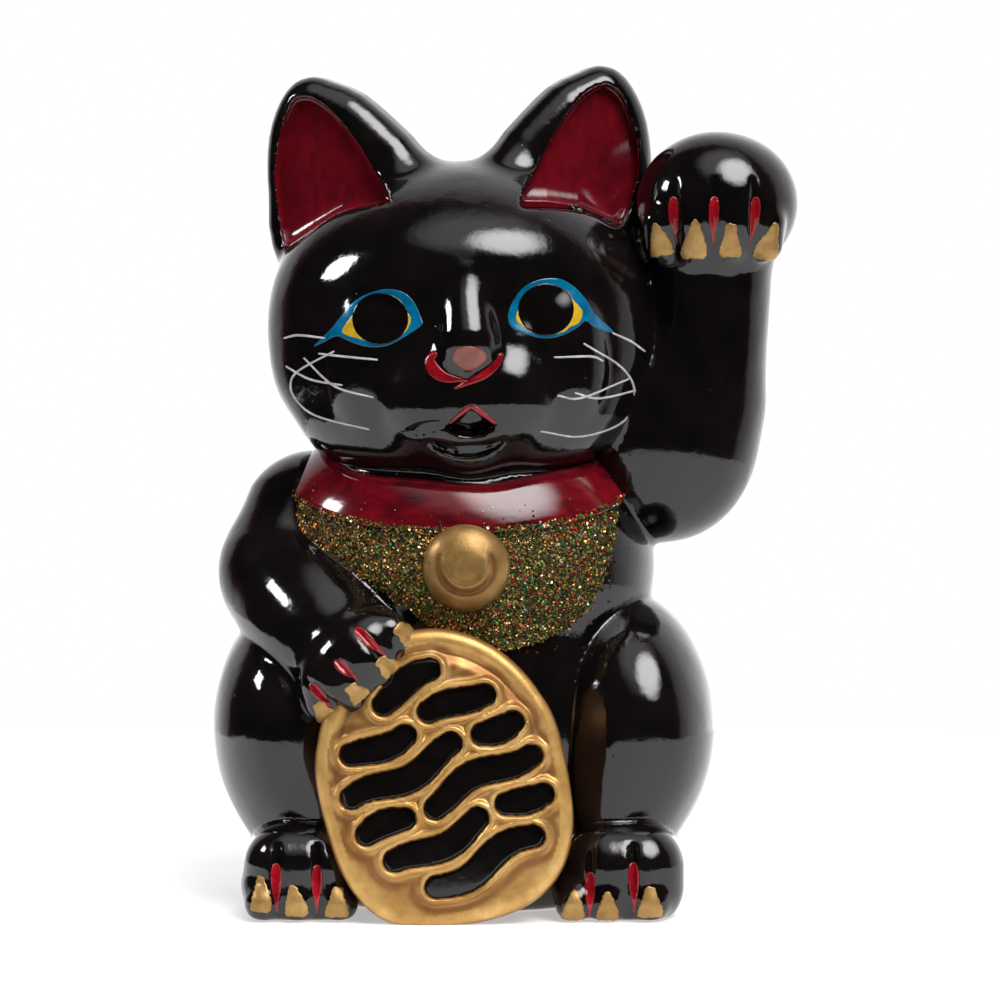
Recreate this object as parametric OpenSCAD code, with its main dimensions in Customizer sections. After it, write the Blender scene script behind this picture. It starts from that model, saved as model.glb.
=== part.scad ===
// Beckoning cat figurine: a hollow glazed casting with a clay base slab, a rubber stopper,
// raised trim and applied colours. Millimetres.
// The cat faces -Y, its own left side is +X, and it stands on z = 0.

/* [Casting] */
// Thickness of the fired clay wall
wall = 4.5; // [3.5:0.5:6]
// Lean of the head towards the cat's right, in degrees
head_roll = 2.2; // [0:0.1:4]
// How far each ear is turned outwards, in degrees
ear_turn = 22; // [15:1:28]
// Depth of the coloured hollow in each ear
ear_cup = 3.4; // [2.5:0.1:4]
// Facets round each rounded form of the casting
shell_fn = 26; // [20:2:30]

/* [Coin slot] */
// Length of the coin slot in the back
slot_length = 38; // [32:1:42]
// Height of the coin slot
slot_height = 5; // [4.6:0.1:6]
// Height of the slot's centre above the table
slot_z = 98; // [92:1:104]

/* [Base and stopper] */
// Radius of the bare clay slab let into the bottom
slab_r = 33; // [32:0.5:34]
// Thickness of the slab
slab_h = 7; // [6:0.5:9]
// Radius of the hole that the stopper closes
bore_r = 15; // [14:0.5:15.5]
// Depth of the recess round that hole
recess_depth = 3.2; // [2.8:0.1:3.6]
// Radial clearance of the stopper in its hole
stopper_clearance = 0.04; // [0.02:0.01:0.08]

/* [Trim] */
// How far the collar stands out from the neck
collar_height = 1.6; // [1.2:0.1:2.4]
// Width of the collar
collar_width = 10; // [8:0.2:11]
// Thickness of the glitter coat
bib_coat = 0.7; // [0.5:0.1:1]
// Thickness of the painted colours
paint = 0.4; // [0.3:0.05:0.6]
// Radius of the bell
bell_r = 10.9; // [9:0.1:12]
// Half width of the koban plate
koban_half_w = 31; // [29:0.2:32]
// Half length of the koban plate
koban_half_l = 37.2; // [34:0.2:38]
// Lean of the koban's long axis towards the cat's right, in degrees
koban_lean = 12.5; // [6:0.5:14]
// Depth of the hollows in the koban's face that hold its black marks
mark_depth = 1.4; // [1:0.1:2]
// Thickness of the black glaze pooled in those hollows
mark_fill = 0.7; // [0.4:0.1:0.9]

/* [Eyes] */
// Half width of the pupil
pupil_half_w = 7; // [6:0.1:7.5]
// Half height of the pupil
pupil_half_h = 6.4; // [5.5:0.1:6.6]

/* [Hidden] */

left = 1;
right = -1;
cavity_fn = 20;
room = 300;                        // larger than the figure, for cutting forms
ear_round = 7.2;                   // rounding radius of the ear's edge
head_centre = [0.4, 0, 146];
slab_centre = [0, 8];
slab_gap = 0.4;                    // luted joint between slab and casting
bore_centre = [0, 21];
flange_r = bore_r + 2.2;
recess_r = bore_r + 2.5;
collar_tilt = 16;                  // the collar rises towards the nape
collar_front = [0, -35, 102];
koban_centre = [-5.5, -45.5, 36];
koban_pitch = -5;
koban_front = 6;                   // from the koban's centre to its front face
koban_back = 16;                   // its back runs into the belly
bell_centre = [0.5, -38.7, 87.5];
left_eye = [20.2, 5];              // in the head's own x and z
right_eye = [-21.1, 4.3];

// Outline of an ear seen from the front, in the head's own x and z
ear_outline = [[14, 36], [42, 22], [42.6, 36], [41.2, 49], [37.5, 57.2], [34, 57.2], [25, 52]];
// Outline of the coloured hollow in the ear
ear_cup_outline = [[18, 34], [41, 25], [43, 44], [38.5, 57.5]];
ear_root = [31, 7, 40];

// Toes: place across the paw and height of the mark's or claw's middle
raised_paw_marks = [[52.5, 173.5], [62.7, 173.5], [73.2, 173.5]];
raised_paw_claws = [[49.3, 169], [57.8, 169], [66.7, 169], [76.3, 169]];
resting_paw_marks = [[-22.9, 70], [-28.7, 63.1], [-35.1, 56.5]];
resting_paw_claws = [[-15.2, 72.2], [-19.8, 64.4], [-26.8, 57.8], [-34.8, 52.8]];
left_foot_marks = [[31.3, 7], [42.1, 8.4]];
left_foot_claws = [[27.2, 4.8], [35.5, 4.6], [46.1, 6]];
right_foot_marks = [[-46.6, 8.3], [-36.8, 8]];
right_foot_claws = [[-49.8, 7.4], [-41.3, 6.3], [-31.3, 6.1]];

// Whiskers on the cat's right cheek, each a run of points in the head's own x and z
right_whiskers = [[[-45.8, -0.4], [-42, 0.4], [-35.3, -0.3]],
                  [[-36.9, -4.2], [-30, -4.9], [-22.3, -5.8]],
                  [[-45.6, -7.6], [-39.3, -10.8], [-31.4, -12]],
                  [[-40.8, -5.4], [-33.5, -12.2], [-23.7, -15.2]],
                  [[-33.1, -3.6], [-42.3, -8.5], [-44.7, -12.1], [-43.5, -16], [-38.5, -20], [-25.1, -23.3]]];
// Whiskers on the cat's left cheek
left_whiskers = [[[36.9, -1.9], [41.4, -4.3], [45, -7.2]],
                 [[21.9, -6.9], [31, -7.2], [34, -8.6]],
                 [[22.4, -16.5], [28, -17.5], [40.5, -13.8]],
                 [[26.8, -16.1], [33, -18], [43.3, -16.8]],
                 [[29.4, -3.9], [38.8, -10.7], [42, -17.3], [39.1, -24.5], [28, -27.4], [17.9, -25.3]]];

// Sunk marks on the koban: rows from top to bottom, each [height, [[start, end], ...]]
ripple_rows = [[24, [[-4, 10]]],
               [14.5, [[-17, -3], [5, 19]]],
               [5, [[-22, 6], [14, 22]]],
               [-4.5, [[-23, -13], [-5, 22]]],
               [-14, [[-20, 3], [11, 20]]],
               [-23.5, [[-14, 13]]]];
ripple_width = 6.8;
ripple_swell = 1.5;                // height of each ripple's wave
ripple_wave = 26;                  // length of one full wave
ripple_tilt = 16;

// One faceted egg: a sphere stretched to three radii, all grown by the same amount
module egg(centre, radii, grow = 0, turn = 0, sides = shell_fn) {
    translate(centre) rotate([0, 0, turn]) hull()
        scale([for (r = radii) r + grow]) sphere(r = 1, $fn = sides);
}

// One limb: a taper between two balls
module limb(a, b, ra, rb, grow = 0, sides = shell_fn) {
    hull() {
        translate(a) sphere(r = ra + grow, $fn = sides);
        translate(b) sphere(r = rb + grow, $fn = sides);
    }
}

module above_table() {
    intersection() {
        children();
        translate([-room / 2, -room / 2, 0]) cube(room);
    }
}

module head_frame() {
    translate(head_centre) rotate([0, -head_roll, 0]) children();
}

module ear_frame(side) {
    head_frame() translate([side * ear_root[0], ear_root[1], ear_root[2]])
        rotate([0, 0, side * ear_turn]) children();
}

module koban_frame() {
    translate(koban_centre) rotate([koban_pitch, 0, 0]) rotate([0, -koban_lean, 0]) children();
}

// A flat outline in x and z, pushed through the front of the figure
module forward_prism(back = 0, front = 80) {
    translate([0, -back, 0]) rotate([90, 0, 0]) linear_extrude(front - back) children();
}

module trunk(grow = 0, sides = shell_fn) {
    egg([0, 6, 44], [50, 45, 56], grow, 0, sides);
    egg([0, 5, 16], [50, 47, 27], grow, 0, sides);
    chest(grow, sides);
}

module chest(grow = 0, sides = shell_fn) {
    egg([-1, 3, 86], [50, 41, 40], grow, 0, sides);
}

module haunch(side, grow = 0, sides = shell_fn) {
    egg([side * 40, -2, 45], [23.5, 40, 34], grow, side * 8, sides);
}

module foot(side, grow = 0) {
    corner_r = 11;
    hull() for (x = [-1, 1], y = [-39, -1], z = [7, 13])
        translate([side * 41 + x * 4.8, y, z]) sphere(r = corner_r + grow, $fn = 20);
}

module resting_arm(grow = 0) {
    limb([-38, 3, 94], [-45, -6.5, 81], 19.2, 17.4, grow);
    limb([-45, -6.5, 81], [-37.5, -20, 72], 17.4, 17, grow);
    limb([-37.5, -20, 72], [-29.5, -33, 65], 17, 15, grow);
}

module resting_paw(grow = 0) {
    translate([-27.4, -42, 64.2]) rotate([0, 43, 0]) egg([0, 0, 0], [11.5, 11, 17], grow);
}

module raised_arm(grow = 0, sides = shell_fn) {
    egg([52, 2, 120], [24, 22, 29], grow, 0, sides);
    limb([60, 1, 130], [61.5, -1, 162], 17, 17, grow, sides);
}

module raised_paw(grow = 0, sides = shell_fn) {
    egg([64.4, -5, 177.5], [20.5, 19.5, 18.5], grow, 0, sides);
}

module skull(grow = 0, sides = shell_fn) {
    head_frame() {
        egg([0, 2, 2], [48.5, 41, 40.5], grow, 0, sides);
        egg([0, 0, -8], [50.5, 38, 31], grow, 0, sides);
    }
}

module muzzle(grow = 0) {
    head_frame() {
        limb([0, -35.5, 6], [0.3, -39, -5.5], 4, 4.8, grow, 20);
        for (side = [left, right]) egg([side * 8.5, -31.2, -12.5], [13, 10.5, 10.5], grow, 0, 20);
        egg([0, -8, -21], [42, 30, 20.5], grow, 0, 24);
        egg([0, -20, -27], [13, 16, 12.5], grow, 0, 20);
    }
}

module ear(side) {
    difference() {
        ear_frame(side) hull() for (p = ear_outline)
            translate([side * ear_across(p[0]), 0, p[1] - ear_root[2]])
                scale([1, 1.15, 1]) sphere(r = ear_round, $fn = 16);
        ear_hollow(side, ear_floor(), ear_round + 5);
    }
}

// The ear is turned, so a width seen from the front is longer in the ear's own plane
function ear_across(x) = (x - ear_root[0]) / cos(ear_turn);
function ear_floor() = ear_round * 1.15 - ear_cup;

module ear_hollow(side, back, front, inset = 0) {
    ear_frame(side) forward_prism(back, front) hull() for (p = ear_cup_outline)
        translate([side * ear_across(p[0]), p[1] - ear_root[2]]) circle(r = 3 - inset, $fn = 24);
}

module tail() {
    limb([-4, 49, 9], [16, 47, 13], 8, 6, 0, 20);
}

// Everything that is cast in one piece, as a solid form
module outer_form() {
    above_table() {
        trunk();
        for (side = [left, right]) {
            haunch(side);
            foot(side);
            ear(side);
        }
        resting_arm();
        resting_paw();
        raised_arm();
        raised_paw();
        skull();
        muzzle();
        tail();
    }
}

// A thin coat: the part of its child that lies outside the casting
module coat() {
    difference() {
        children();
        outer_form();
    }
}

module coin_chamber() {
    trunk(-wall, cavity_fn);
    for (side = [left, right]) haunch(side, -wall, cavity_fn);
    raised_arm(-wall, cavity_fn);
    raised_paw(-wall, cavity_fn);
    skull(-wall, cavity_fn);
}

module coin_slot() {
    end_x = (slot_length - slot_height) / 2;
    translate([-1, 20, slot_z]) rotate([-90, 0, 0]) linear_extrude(40) hull()
        for (side = [left, right]) translate([side * end_x, 0]) circle(d = slot_height, $fn = 24);
}

module slab_seat() {
    translate([slab_centre[0], slab_centre[1], -1])
        cylinder(r = slab_r + slab_gap, h = slab_h + 1, $fn = 64);
}

module body_shell() {
    color([0.03, 0.03, 0.035]) difference() {
        outer_form();
        intersection() {
            coin_chamber();
            translate([-room / 2, -room / 2, slab_h - 0.01]) cube(room);
        }
        slab_seat();
        coin_slot();
    }
}

module base_slab() {
    color([0.72, 0.62, 0.52]) difference() {
        translate([slab_centre[0], slab_centre[1], 0]) cylinder(r = slab_r, h = slab_h, $fn = 96);
        translate([bore_centre[0], bore_centre[1], -1]) cylinder(r = bore_r, h = slab_h + 2, $fn = 96);
        translate([bore_centre[0], bore_centre[1], -1])
            cylinder(r = recess_r, h = recess_depth + 1, $fn = 96);
    }
}

module stopper() {
    flange_low = 1.4;
    flange_top = recess_depth - 0.05;
    plug_r = bore_r - stopper_clearance;
    plug_top = slab_h + 3;
    dish_r = 10;
    dish_top = flange_low + 4;
    grip_w = 3;
    color([0.2, 0.2, 0.2]) translate([bore_centre[0], bore_centre[1], 0]) {
        difference() {
            rotate_extrude($fn = 96) polygon([[0, flange_low], [flange_r, flange_low],
                [flange_r, flange_top], [plug_r, flange_top], [plug_r, plug_top - 1],
                [plug_r - 1, plug_top], [0, plug_top]]);
            translate([0, 0, flange_low - 1]) cylinder(r = dish_r, h = dish_top - flange_low + 1, $fn = 64);
        }
        translate([-dish_r, -grip_w / 2, flange_low]) cube([2 * dish_r, grip_w, dish_top - flange_low]);
    }
}

module collar_band(width) {
    translate(collar_front) rotate([collar_tilt, 0, 0])
        translate([-room / 2, -room / 2, -width / 2]) cube([room, room, width]);
}

module collar() {
    color([0.5, 0.03, 0.09]) coat() difference() {
        intersection() {
            chest(collar_height);
            collar_band(collar_width);
        }
        bell_blank();
    }
}

module bib() {
    color([0.35, 0.33, 0.1]) coat() difference() {
        intersection() {
            chest(bib_coat);
            forward_prism(0) polygon([[-46, 104], [-43, 95], [-31, 88.5], [-18, 80], [-6, 71.8],
                [2, 67.8], [10, 67], [18, 68], [26.6, 72], [34, 80.5], [37.8, 92], [40, 106]]);
        }
        collar_band(collar_width);
        bell_blank();
    }
}

module bell_blank() {
    rise = 5.5;
    dome_r = (bell_r * bell_r + rise * rise) / (2 * rise);
    translate([bell_centre[0], bell_centre[1], bell_centre[2]]) rotate([90, 0, 0]) intersection() {
        translate([0, 0, -6]) cylinder(r = bell_r, h = 6 + rise, $fn = 40);
        translate([0, 0, rise - dome_r + 0.8]) sphere(r = dome_r, $fn = 40);
    }
}

module bell() {
    color([0.72, 0.56, 0.25]) coat() bell_blank();
}

// Point of the koban's outline at an angle: an oval that is squarer below than above
function koban_rim(t) =
    let (n = 2.4 - 0.4 * max(-1, min(1, 2.5 * sin(t))))
    pow(pow(abs(cos(t)), n) + pow(abs(sin(t)), n), -1 / n)
        * [koban_half_w * cos(t), koban_half_l * sin(t)];

module koban() {
    color([0.78, 0.6, 0.28]) coat() difference() {
        above_table() koban_frame() forward_prism(-koban_back, koban_front)
            polygon([for (t = [0:5:355]) koban_rim(t)]);
        chest(bib_coat);
        resting_paw(paint);
        koban_frame() forward_prism(koban_front - mark_depth, koban_front + 1) ripples();
    }
}

// One ripple: a band with round ends that follows a gentle wave
module ripple(start, end, width) {
    steps = ceil((end - start) / 3);
    points = [for (i = [0:steps]) let (x = start + (end - start) * i / steps)
        [x, ripple_swell * sin(360 * x / ripple_wave)]];
    for (i = [0:steps - 1]) hull() for (k = [i, i + 1])
        translate(points[k]) circle(d = width, $fn = 12);
}

module ripples(inset = 0) {
    for (row = ripple_rows, span = row[1])
        rotate(ripple_tilt) translate([0, row[0]]) ripple(span[0], span[1], ripple_width - 2 * inset);
}

module koban_marks() {
    color([0.05, 0.05, 0.05]) coat() difference() {
        koban_frame() forward_prism(koban_front - mark_depth, koban_front - mark_depth + mark_fill)
            ripples(0.05);
        resting_paw(paint);
    }
}

module ear_lining(side) {
    color([0.5, 0.03, 0.09]) coat() ear_hollow(side, ear_floor(), ear_floor() + 1, 0.15);
}

// Paint that lies on the face inside a flat outline
module face_paint() {
    coat() intersection() {
        union() {
            skull(paint);
            muzzle(paint);
        }
        head_frame() forward_prism() children();
    }
}

module pupil_outline(grow = 0) {
    scale([pupil_half_w + grow, pupil_half_h + grow]) circle(r = 1, $fn = 32);
}

// The opening between the lids: round above and below, drawn out to a corner at each side
module eye_opening(grow = 0) {
    hull() {
        pupil_outline(grow);
        translate([-9.2 - grow, -1.6]) circle(r = 0.4, $fn = 8);
        translate([9.4 + grow, -2.6]) circle(r = 0.4, $fn = 8);
    }
}

module eye_frame(side) {
    translate(side == left ? left_eye : right_eye) scale([side, 1]) children();
}

// The painted lid line with its tail, as a filled outline
module eye_surround() {
    eye_opening(1.2);
    hull() {
        translate([9.4, -1.6]) circle(r = 1.6, $fn = 12);
        translate([13, -4.6]) circle(r = 1.1, $fn = 12);
    }
    hull() {
        translate([13, -4.6]) circle(r = 1.1, $fn = 12);
        translate([17, -6.9]) circle(r = 0.4, $fn = 12);
    }
}

module eye_outline(side) {
    color([0, 0.45, 0.65]) face_paint() eye_frame(side) difference() {
        eye_surround();
        eye_opening();
    }
}

module iris(side) {
    color([0.85, 0.68, 0.15]) face_paint() eye_frame(side) difference() {
        eye_opening();
        pupil_outline();
    }
}

module pupil(side) {
    color([0.02, 0.02, 0.02]) face_paint() eye_frame(side) pupil_outline();
}

module nose_outline() {
    translate([0.5, -6.2]) scale([4.2, 3.2]) circle(r = 1, $fn = 24);
}

module nose_pad() {
    color([0.75, 0.42, 0.4]) face_paint() nose_outline();
}

module nostril_marks() {
    color([0.6, 0.04, 0.1]) face_paint() difference() {
        for (side = [left, right]) {
            hull() {
                translate([side * 8.4, -5.6]) circle(r = 1.3, $fn = 12);
                translate([side * 6.8, -9]) circle(r = 1.7, $fn = 12);
            }
            hull() {
                translate([side * 6.8, -9]) circle(r = 1.7, $fn = 12);
                translate([side * 1.6, -11.4]) circle(r = 0.7, $fn = 12);
            }
        }
        nose_outline();
    }
}

module mouth_mark() {
    color([0.5, 0.03, 0.09]) face_paint()
        polygon([[0.4, -17.4], [6.2, -22.4], [3.4, -22.2], [0.4, -20.4], [-2.4, -22], [-4.8, -22]]);
}

module whiskers(side, strands) {
    color([0.85, 0.85, 0.85]) face_paint() difference() {
        for (strand = strands, i = [0:len(strand) - 2])
            hull() for (k = [i, i + 1]) translate(strand[k]) circle(r = 0.3, $fn = 6);
        eye_frame(side) offset(delta = 0.1) eye_surround();
    }
}

// A red mark between two toes: a slim drop
module toe_mark(length) {
    hull() {
        translate([0, length / 2 - 0.4]) circle(r = 0.4, $fn = 12);
        translate([0, -length / 4]) circle(r = 1.2, $fn = 12);
        translate([0, -length / 2 + 0.4]) circle(r = 0.4, $fn = 12);
    }
}

// A claw: wide at the tip of the toe and narrow behind it
module claw(length, width) {
    hull() {
        translate([0, length / 2 - 1]) circle(r = 1, $fn = 12);
        translate([width / 2 - 1.4, -length / 2 + 1.4]) circle(r = 1.4, $fn = 12);
        translate([1.4 - width / 2, -length / 2 + 1.4]) circle(r = 1.4, $fn = 12);
    }
}

module at_each(places, turn = 0) {
    for (p = places) translate(p) rotate(turn) children();
}

module paw_red() {
    color([0.6, 0.04, 0.1]) coat() intersection() {
        children(0);
        forward_prism(8) children(1);
    }
}

// Gold on a paw: children are the paw, the claws, and the red marks that they stay clear of
module paw_gold() {
    color([0.72, 0.56, 0.25]) coat() intersection() {
        children(0);
        forward_prism(8) difference() {
            children(1);
            offset(delta = 0.1) children(2);
        }
    }
}

resting_turn = 45;                 // the resting paw's toes point down and inwards

module toe_marks_raised_paw() {
    paw_red() {
        raised_paw(paint);
        at_each(raised_paw_marks) toe_mark(10.5);
    }
}

module claws_raised_paw() {
    paw_gold() {
        raised_paw(paint);
        at_each(raised_paw_claws) claw(10, 5.6);
        at_each(raised_paw_marks) toe_mark(10.5);
    }
}

module toe_marks_resting_paw() {
    paw_red() {
        resting_paw(paint);
        at_each(resting_paw_marks, resting_turn) toe_mark(7.6);
    }
}

module claws_resting_paw() {
    paw_gold() {
        resting_paw(paint);
        at_each(resting_paw_claws, resting_turn) claw(6, 4.6);
        at_each(resting_paw_marks, resting_turn) toe_mark(7.6);
    }
}

module foot_marks(side, places) {
    paw_red() {
        foot(side, paint);
        at_each(places) toe_mark(10);
    }
}

module foot_claws(side, places, marks) {
    paw_gold() {
        foot(side, paint);
        at_each(places) claw(7.6, 5.8);
        at_each(marks) toe_mark(10);
    }
}

body_shell();
base_slab();
stopper();
collar();
bib();
bell();
koban();
koban_marks();
ear_lining(left);  // ear_lining_left
ear_lining(right);  // ear_lining_right
eye_outline(left);  // eye_outline_left
eye_outline(right);  // eye_outline_right
iris(left);  // iris_left
iris(right);  // iris_right
pupil(left);  // pupil_left
pupil(right);  // pupil_right
nose_pad();
nostril_marks();
mouth_mark();
whiskers(left, left_whiskers);  // whiskers_left
whiskers(right, right_whiskers);  // whiskers_right
toe_marks_raised_paw();
claws_raised_paw();
toe_marks_resting_paw();
claws_resting_paw();
foot_marks(left, left_foot_marks);  // toe_marks_left_foot
foot_claws(left, left_foot_claws, left_foot_marks);  // claws_left_foot
foot_marks(right, right_foot_marks);  // toe_marks_right_foot
foot_claws(right, right_foot_claws, right_foot_marks);  // claws_right_foot
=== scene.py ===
"""Looks of the beckoning cat: a sculpted, glazed casting with painted, gilt and glittered trim.

The forms are written in figure millimetres (X to the right of the view, the cat faces -Y,
Z up) and turned into metres at the end by the factor that the frame's own height gives.
"""
import math

import bpy
import numpy as np
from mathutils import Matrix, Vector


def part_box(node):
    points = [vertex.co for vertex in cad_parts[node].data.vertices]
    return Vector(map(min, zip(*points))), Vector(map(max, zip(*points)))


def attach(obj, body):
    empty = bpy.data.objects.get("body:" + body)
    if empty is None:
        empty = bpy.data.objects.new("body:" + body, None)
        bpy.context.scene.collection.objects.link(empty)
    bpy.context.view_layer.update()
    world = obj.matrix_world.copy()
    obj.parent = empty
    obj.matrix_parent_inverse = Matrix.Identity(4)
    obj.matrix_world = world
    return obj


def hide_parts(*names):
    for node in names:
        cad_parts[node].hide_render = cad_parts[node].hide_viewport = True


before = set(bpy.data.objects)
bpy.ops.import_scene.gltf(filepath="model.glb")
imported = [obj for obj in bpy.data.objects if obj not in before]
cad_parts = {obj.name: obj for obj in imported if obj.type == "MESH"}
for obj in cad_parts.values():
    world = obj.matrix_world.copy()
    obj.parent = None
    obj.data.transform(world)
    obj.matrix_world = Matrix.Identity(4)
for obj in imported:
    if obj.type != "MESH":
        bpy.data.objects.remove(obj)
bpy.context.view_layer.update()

import openvdb
from mathutils import Vector

DESIGN_HEIGHT = 211.71  # figure millimetres from the table to the ear tip
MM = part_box("body_shell")[1].z / DESIGN_HEIGHT
CASTING = "casting"
LEFT, RIGHT = 1, -1  # the cat's own sides: its left is +X


def cad_box(node):
    """Lowest and highest corner of a CAD node, in figure millimetres."""
    low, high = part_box(node)
    return np.array(low) / MM, np.array(high) / MM


# ---------------- distance fields

f32 = np.float32
FAR = 1e9


def vec(*values):
    return np.array(values, f32)


def soft_min(a, b, k):
    """Union of two fields with a fillet about k wide."""
    h = np.maximum(k - np.abs(a - b), 0) / k
    return np.minimum(a, b) - h * h * h * k / 6


def soft_max(a, b, k):
    return -soft_min(-a, -b, k)


def nearest(field, q, shapes):
    """Union, without a fillet, of one field drawn for each of several shapes."""
    d = field(q, shapes[0])
    for shape in shapes[1:]:
        d = np.minimum(d, field(q, shape))
    return d


def turn_about(axis, degrees):
    """Matrix whose columns are the turned axes, so that p @ matrix gives local coordinates."""
    a = math.radians(degrees)
    c, s = math.cos(a), math.sin(a)
    rows = {"x": [[1, 0, 0], [0, c, -s], [0, s, c]],
            "y": [[c, 0, s], [0, 1, 0], [-s, 0, c]],
            "z": [[c, -s, 0], [s, c, 0], [0, 0, 1]]}[axis]
    return np.array(rows, f32)


def egg(p, centre, radii, turned=None):
    q = p - vec(*centre)
    if turned is not None:
        q = q @ turned
    r = vec(*radii)
    k0 = np.linalg.norm(q / r, axis=-1)
    k1 = np.linalg.norm(q / (r * r), axis=-1) + 1e-9
    return k0 * (k0 - 1) / k1


def limb(p, a, b, ra, rb):
    """A taper between two balls."""
    a, b = vec(*a), vec(*b)
    ba = b - a
    h = np.clip(((p - a) @ ba) / (ba @ ba), 0, 1)
    return np.linalg.norm(p - a - h[..., None] * ba, axis=-1) - (ra + (rb - ra) * h)


def chain(p, points, radii, k):
    """A run of limbs blended into one."""
    d = limb(p, points[0], points[1], radii[0], radii[1])
    for i in range(1, len(points) - 1):
        d = soft_min(d, limb(p, points[i], points[i + 1], radii[i], radii[i + 1]), k)
    return d


def block(p, centre, half, r):
    q = np.abs(p - vec(*centre)) - vec(*[h - r for h in half])
    return np.linalg.norm(np.maximum(q, 0), axis=-1) + np.minimum(q.max(-1), 0) - r


def spline(points, closed=False, steps=8):
    """A smooth run of points through the given ones; further columns, such as a width, ride along."""
    p = np.array(points, float)
    if closed:
        p = np.vstack([p[-1], p, p[:2]])
    else:
        p = np.vstack([2 * p[0] - p[1], p, 2 * p[-1] - p[-2]])
    t = (np.arange(steps) / steps)[:, None]
    run = []
    for a, b, c, d in zip(p, p[1:], p[2:], p[3:]):
        run.append(0.5 * (2 * b + (c - a) * t + (2 * a - 5 * b + 4 * c - d) * t ** 2
                          + (3 * b - a - 3 * c + d) * t ** 3))
    if not closed:
        run.append(p[-2][None])
    return np.vstack(run).astype(f32)


def outline_field(q, points):
    """Signed distance from 2-D points q to any closed outline."""
    corners = np.asarray(points, f32)
    gap2 = np.full(q.shape[:-1], FAR, f32)
    inside = np.zeros(q.shape[:-1], bool)
    for a, b in zip(corners, np.roll(corners, -1, 0)):
        e = b - a
        w = q - a
        h = np.clip((w @ e) / (e @ e + 1e-12), 0, 1)
        gap2 = np.minimum(gap2, ((w - h[..., None] * e) ** 2).sum(-1))
        crosses = (a[1] > q[..., 1]) != (b[1] > q[..., 1])
        inside ^= crosses & ((w[..., 0] - e[0] * w[..., 1] / (e[1] if e[1] else 1e-9)) < 0)
    d = np.sqrt(gap2)
    return np.where(inside, -d, d)


def plate(d, y, half, r):
    """A flat outline field d, made half*2 thick along y and rounded by r."""
    dy = np.abs(y) - half
    outside = np.sqrt(np.maximum(d, 0) ** 2 + np.maximum(dy, 0) ** 2)
    return np.minimum(np.maximum(d, dy), 0) + outside - r


# ---------------- the cat's form

HEAD_CENTRE = (0.4, 0, 146)
HEAD_ROLL = 2.2
EAR_ROOT = (31, 7, 40)
EAR_TURN = 22
EAR_ROUND = 7.2
EAR_FRONT = -8.4  # the ear's flat front, in its own turned frame
EAR_OUTLINE = [(14, 36), (39, 23), (41.6, 36), (41, 49), (37.5, 57.2), (34, 57.2), (25, 52)]
# Hollow of each ear seen from the front, both written with x growing outwards
EAR_CUPS = {
    RIGHT: [(40.4, 59.9), (36.8, 59.7), (31.9, 56), (26.1, 48.7), (21.3, 40.3), (18, 34.1), (18.2, 32.6),
            (21.6, 32.2), (26.7, 31.6), (31.9, 30), (37.1, 26.7), (41.4, 23.3), (44.6, 21.3), (45.9, 25),
            (46.8, 33.2), (47.2, 40.3), (46.2, 47.4), (44.2, 54.4), (42.2, 58.6)],
    LEFT: [(38.6, 60.2), (42, 57.2), (43.9, 52.1), (45.6, 45.9), (45.6, 37.8), (44.2, 32.7), (42, 26.7),
           (39.8, 24.3), (37.3, 24.8), (33.3, 27.5), (28.3, 29), (22.2, 29.7), (16.6, 30), (15, 31),
           (15.7, 33.3), (18.4, 37.8), (21.7, 43.8), (26, 50.7), (31.3, 57.1), (35.5, 59.8)]}
EYE = (20.7, 4.8)

HEAD_TURN = turn_about("y", -HEAD_ROLL)
EAR_RUN = spline([((x - EAR_ROOT[0]) / math.cos(math.radians(EAR_TURN)), z - EAR_ROOT[2])
                  for x, z in EAR_OUTLINE], closed=True, steps=4)
EAR_CUP_RUNS = {side: spline(points, closed=True, steps=3) for side, points in EAR_CUPS.items()}


def in_front(p):
    """Coordinates x, z of points, as seen from the front."""
    return p[..., [0, 2]]


def to_head(p):
    return (p - vec(*HEAD_CENTRE)) @ HEAD_TURN


def from_head(q):
    return q @ HEAD_TURN.T + vec(*HEAD_CENTRE)


def ear_local(h, side):
    return (h - vec(side * EAR_ROOT[0], EAR_ROOT[1], EAR_ROOT[2])) @ turn_about("z", side * EAR_TURN)


def ear_edge(h, side):
    """Signed distance from the ear's outline, in the turned ear's own plane."""
    return outline_field(in_front(ear_local(h, side)) * vec(side, 1), EAR_RUN)


def from_ear_cup(h, side):
    """Signed distance from the outline of the ear's hollow, seen from the front of the head."""
    return outline_field(in_front(h) * vec(side, 1), EAR_CUP_RUNS[side])


def ear_cup(h, side):
    """The ear's hollow: steep at the sides, with a floor that climbs to the skull's ridge below."""
    x = h[..., 0] * side
    above_ridge = h[..., 2] - np.interp(x, [14, 22, 30, 38, 46], [31.5, 31, 29.5, 25.5, 21]).astype(f32)
    depth = 3.4 - 3.2 * np.exp(-np.maximum(above_ridge, 0) / 2.4)
    floor = EAR_FRONT + depth
    return soft_max(from_ear_cup(h, side), ear_local(h, side)[..., 1] - floor, 1.6)


def skull(h):
    top = egg(h, (0, 2, 3), (50.5, 41, 39.5))
    return soft_min(top, egg(h, (0, 0, -8), (49.5, 38, 31)), 7)


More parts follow.
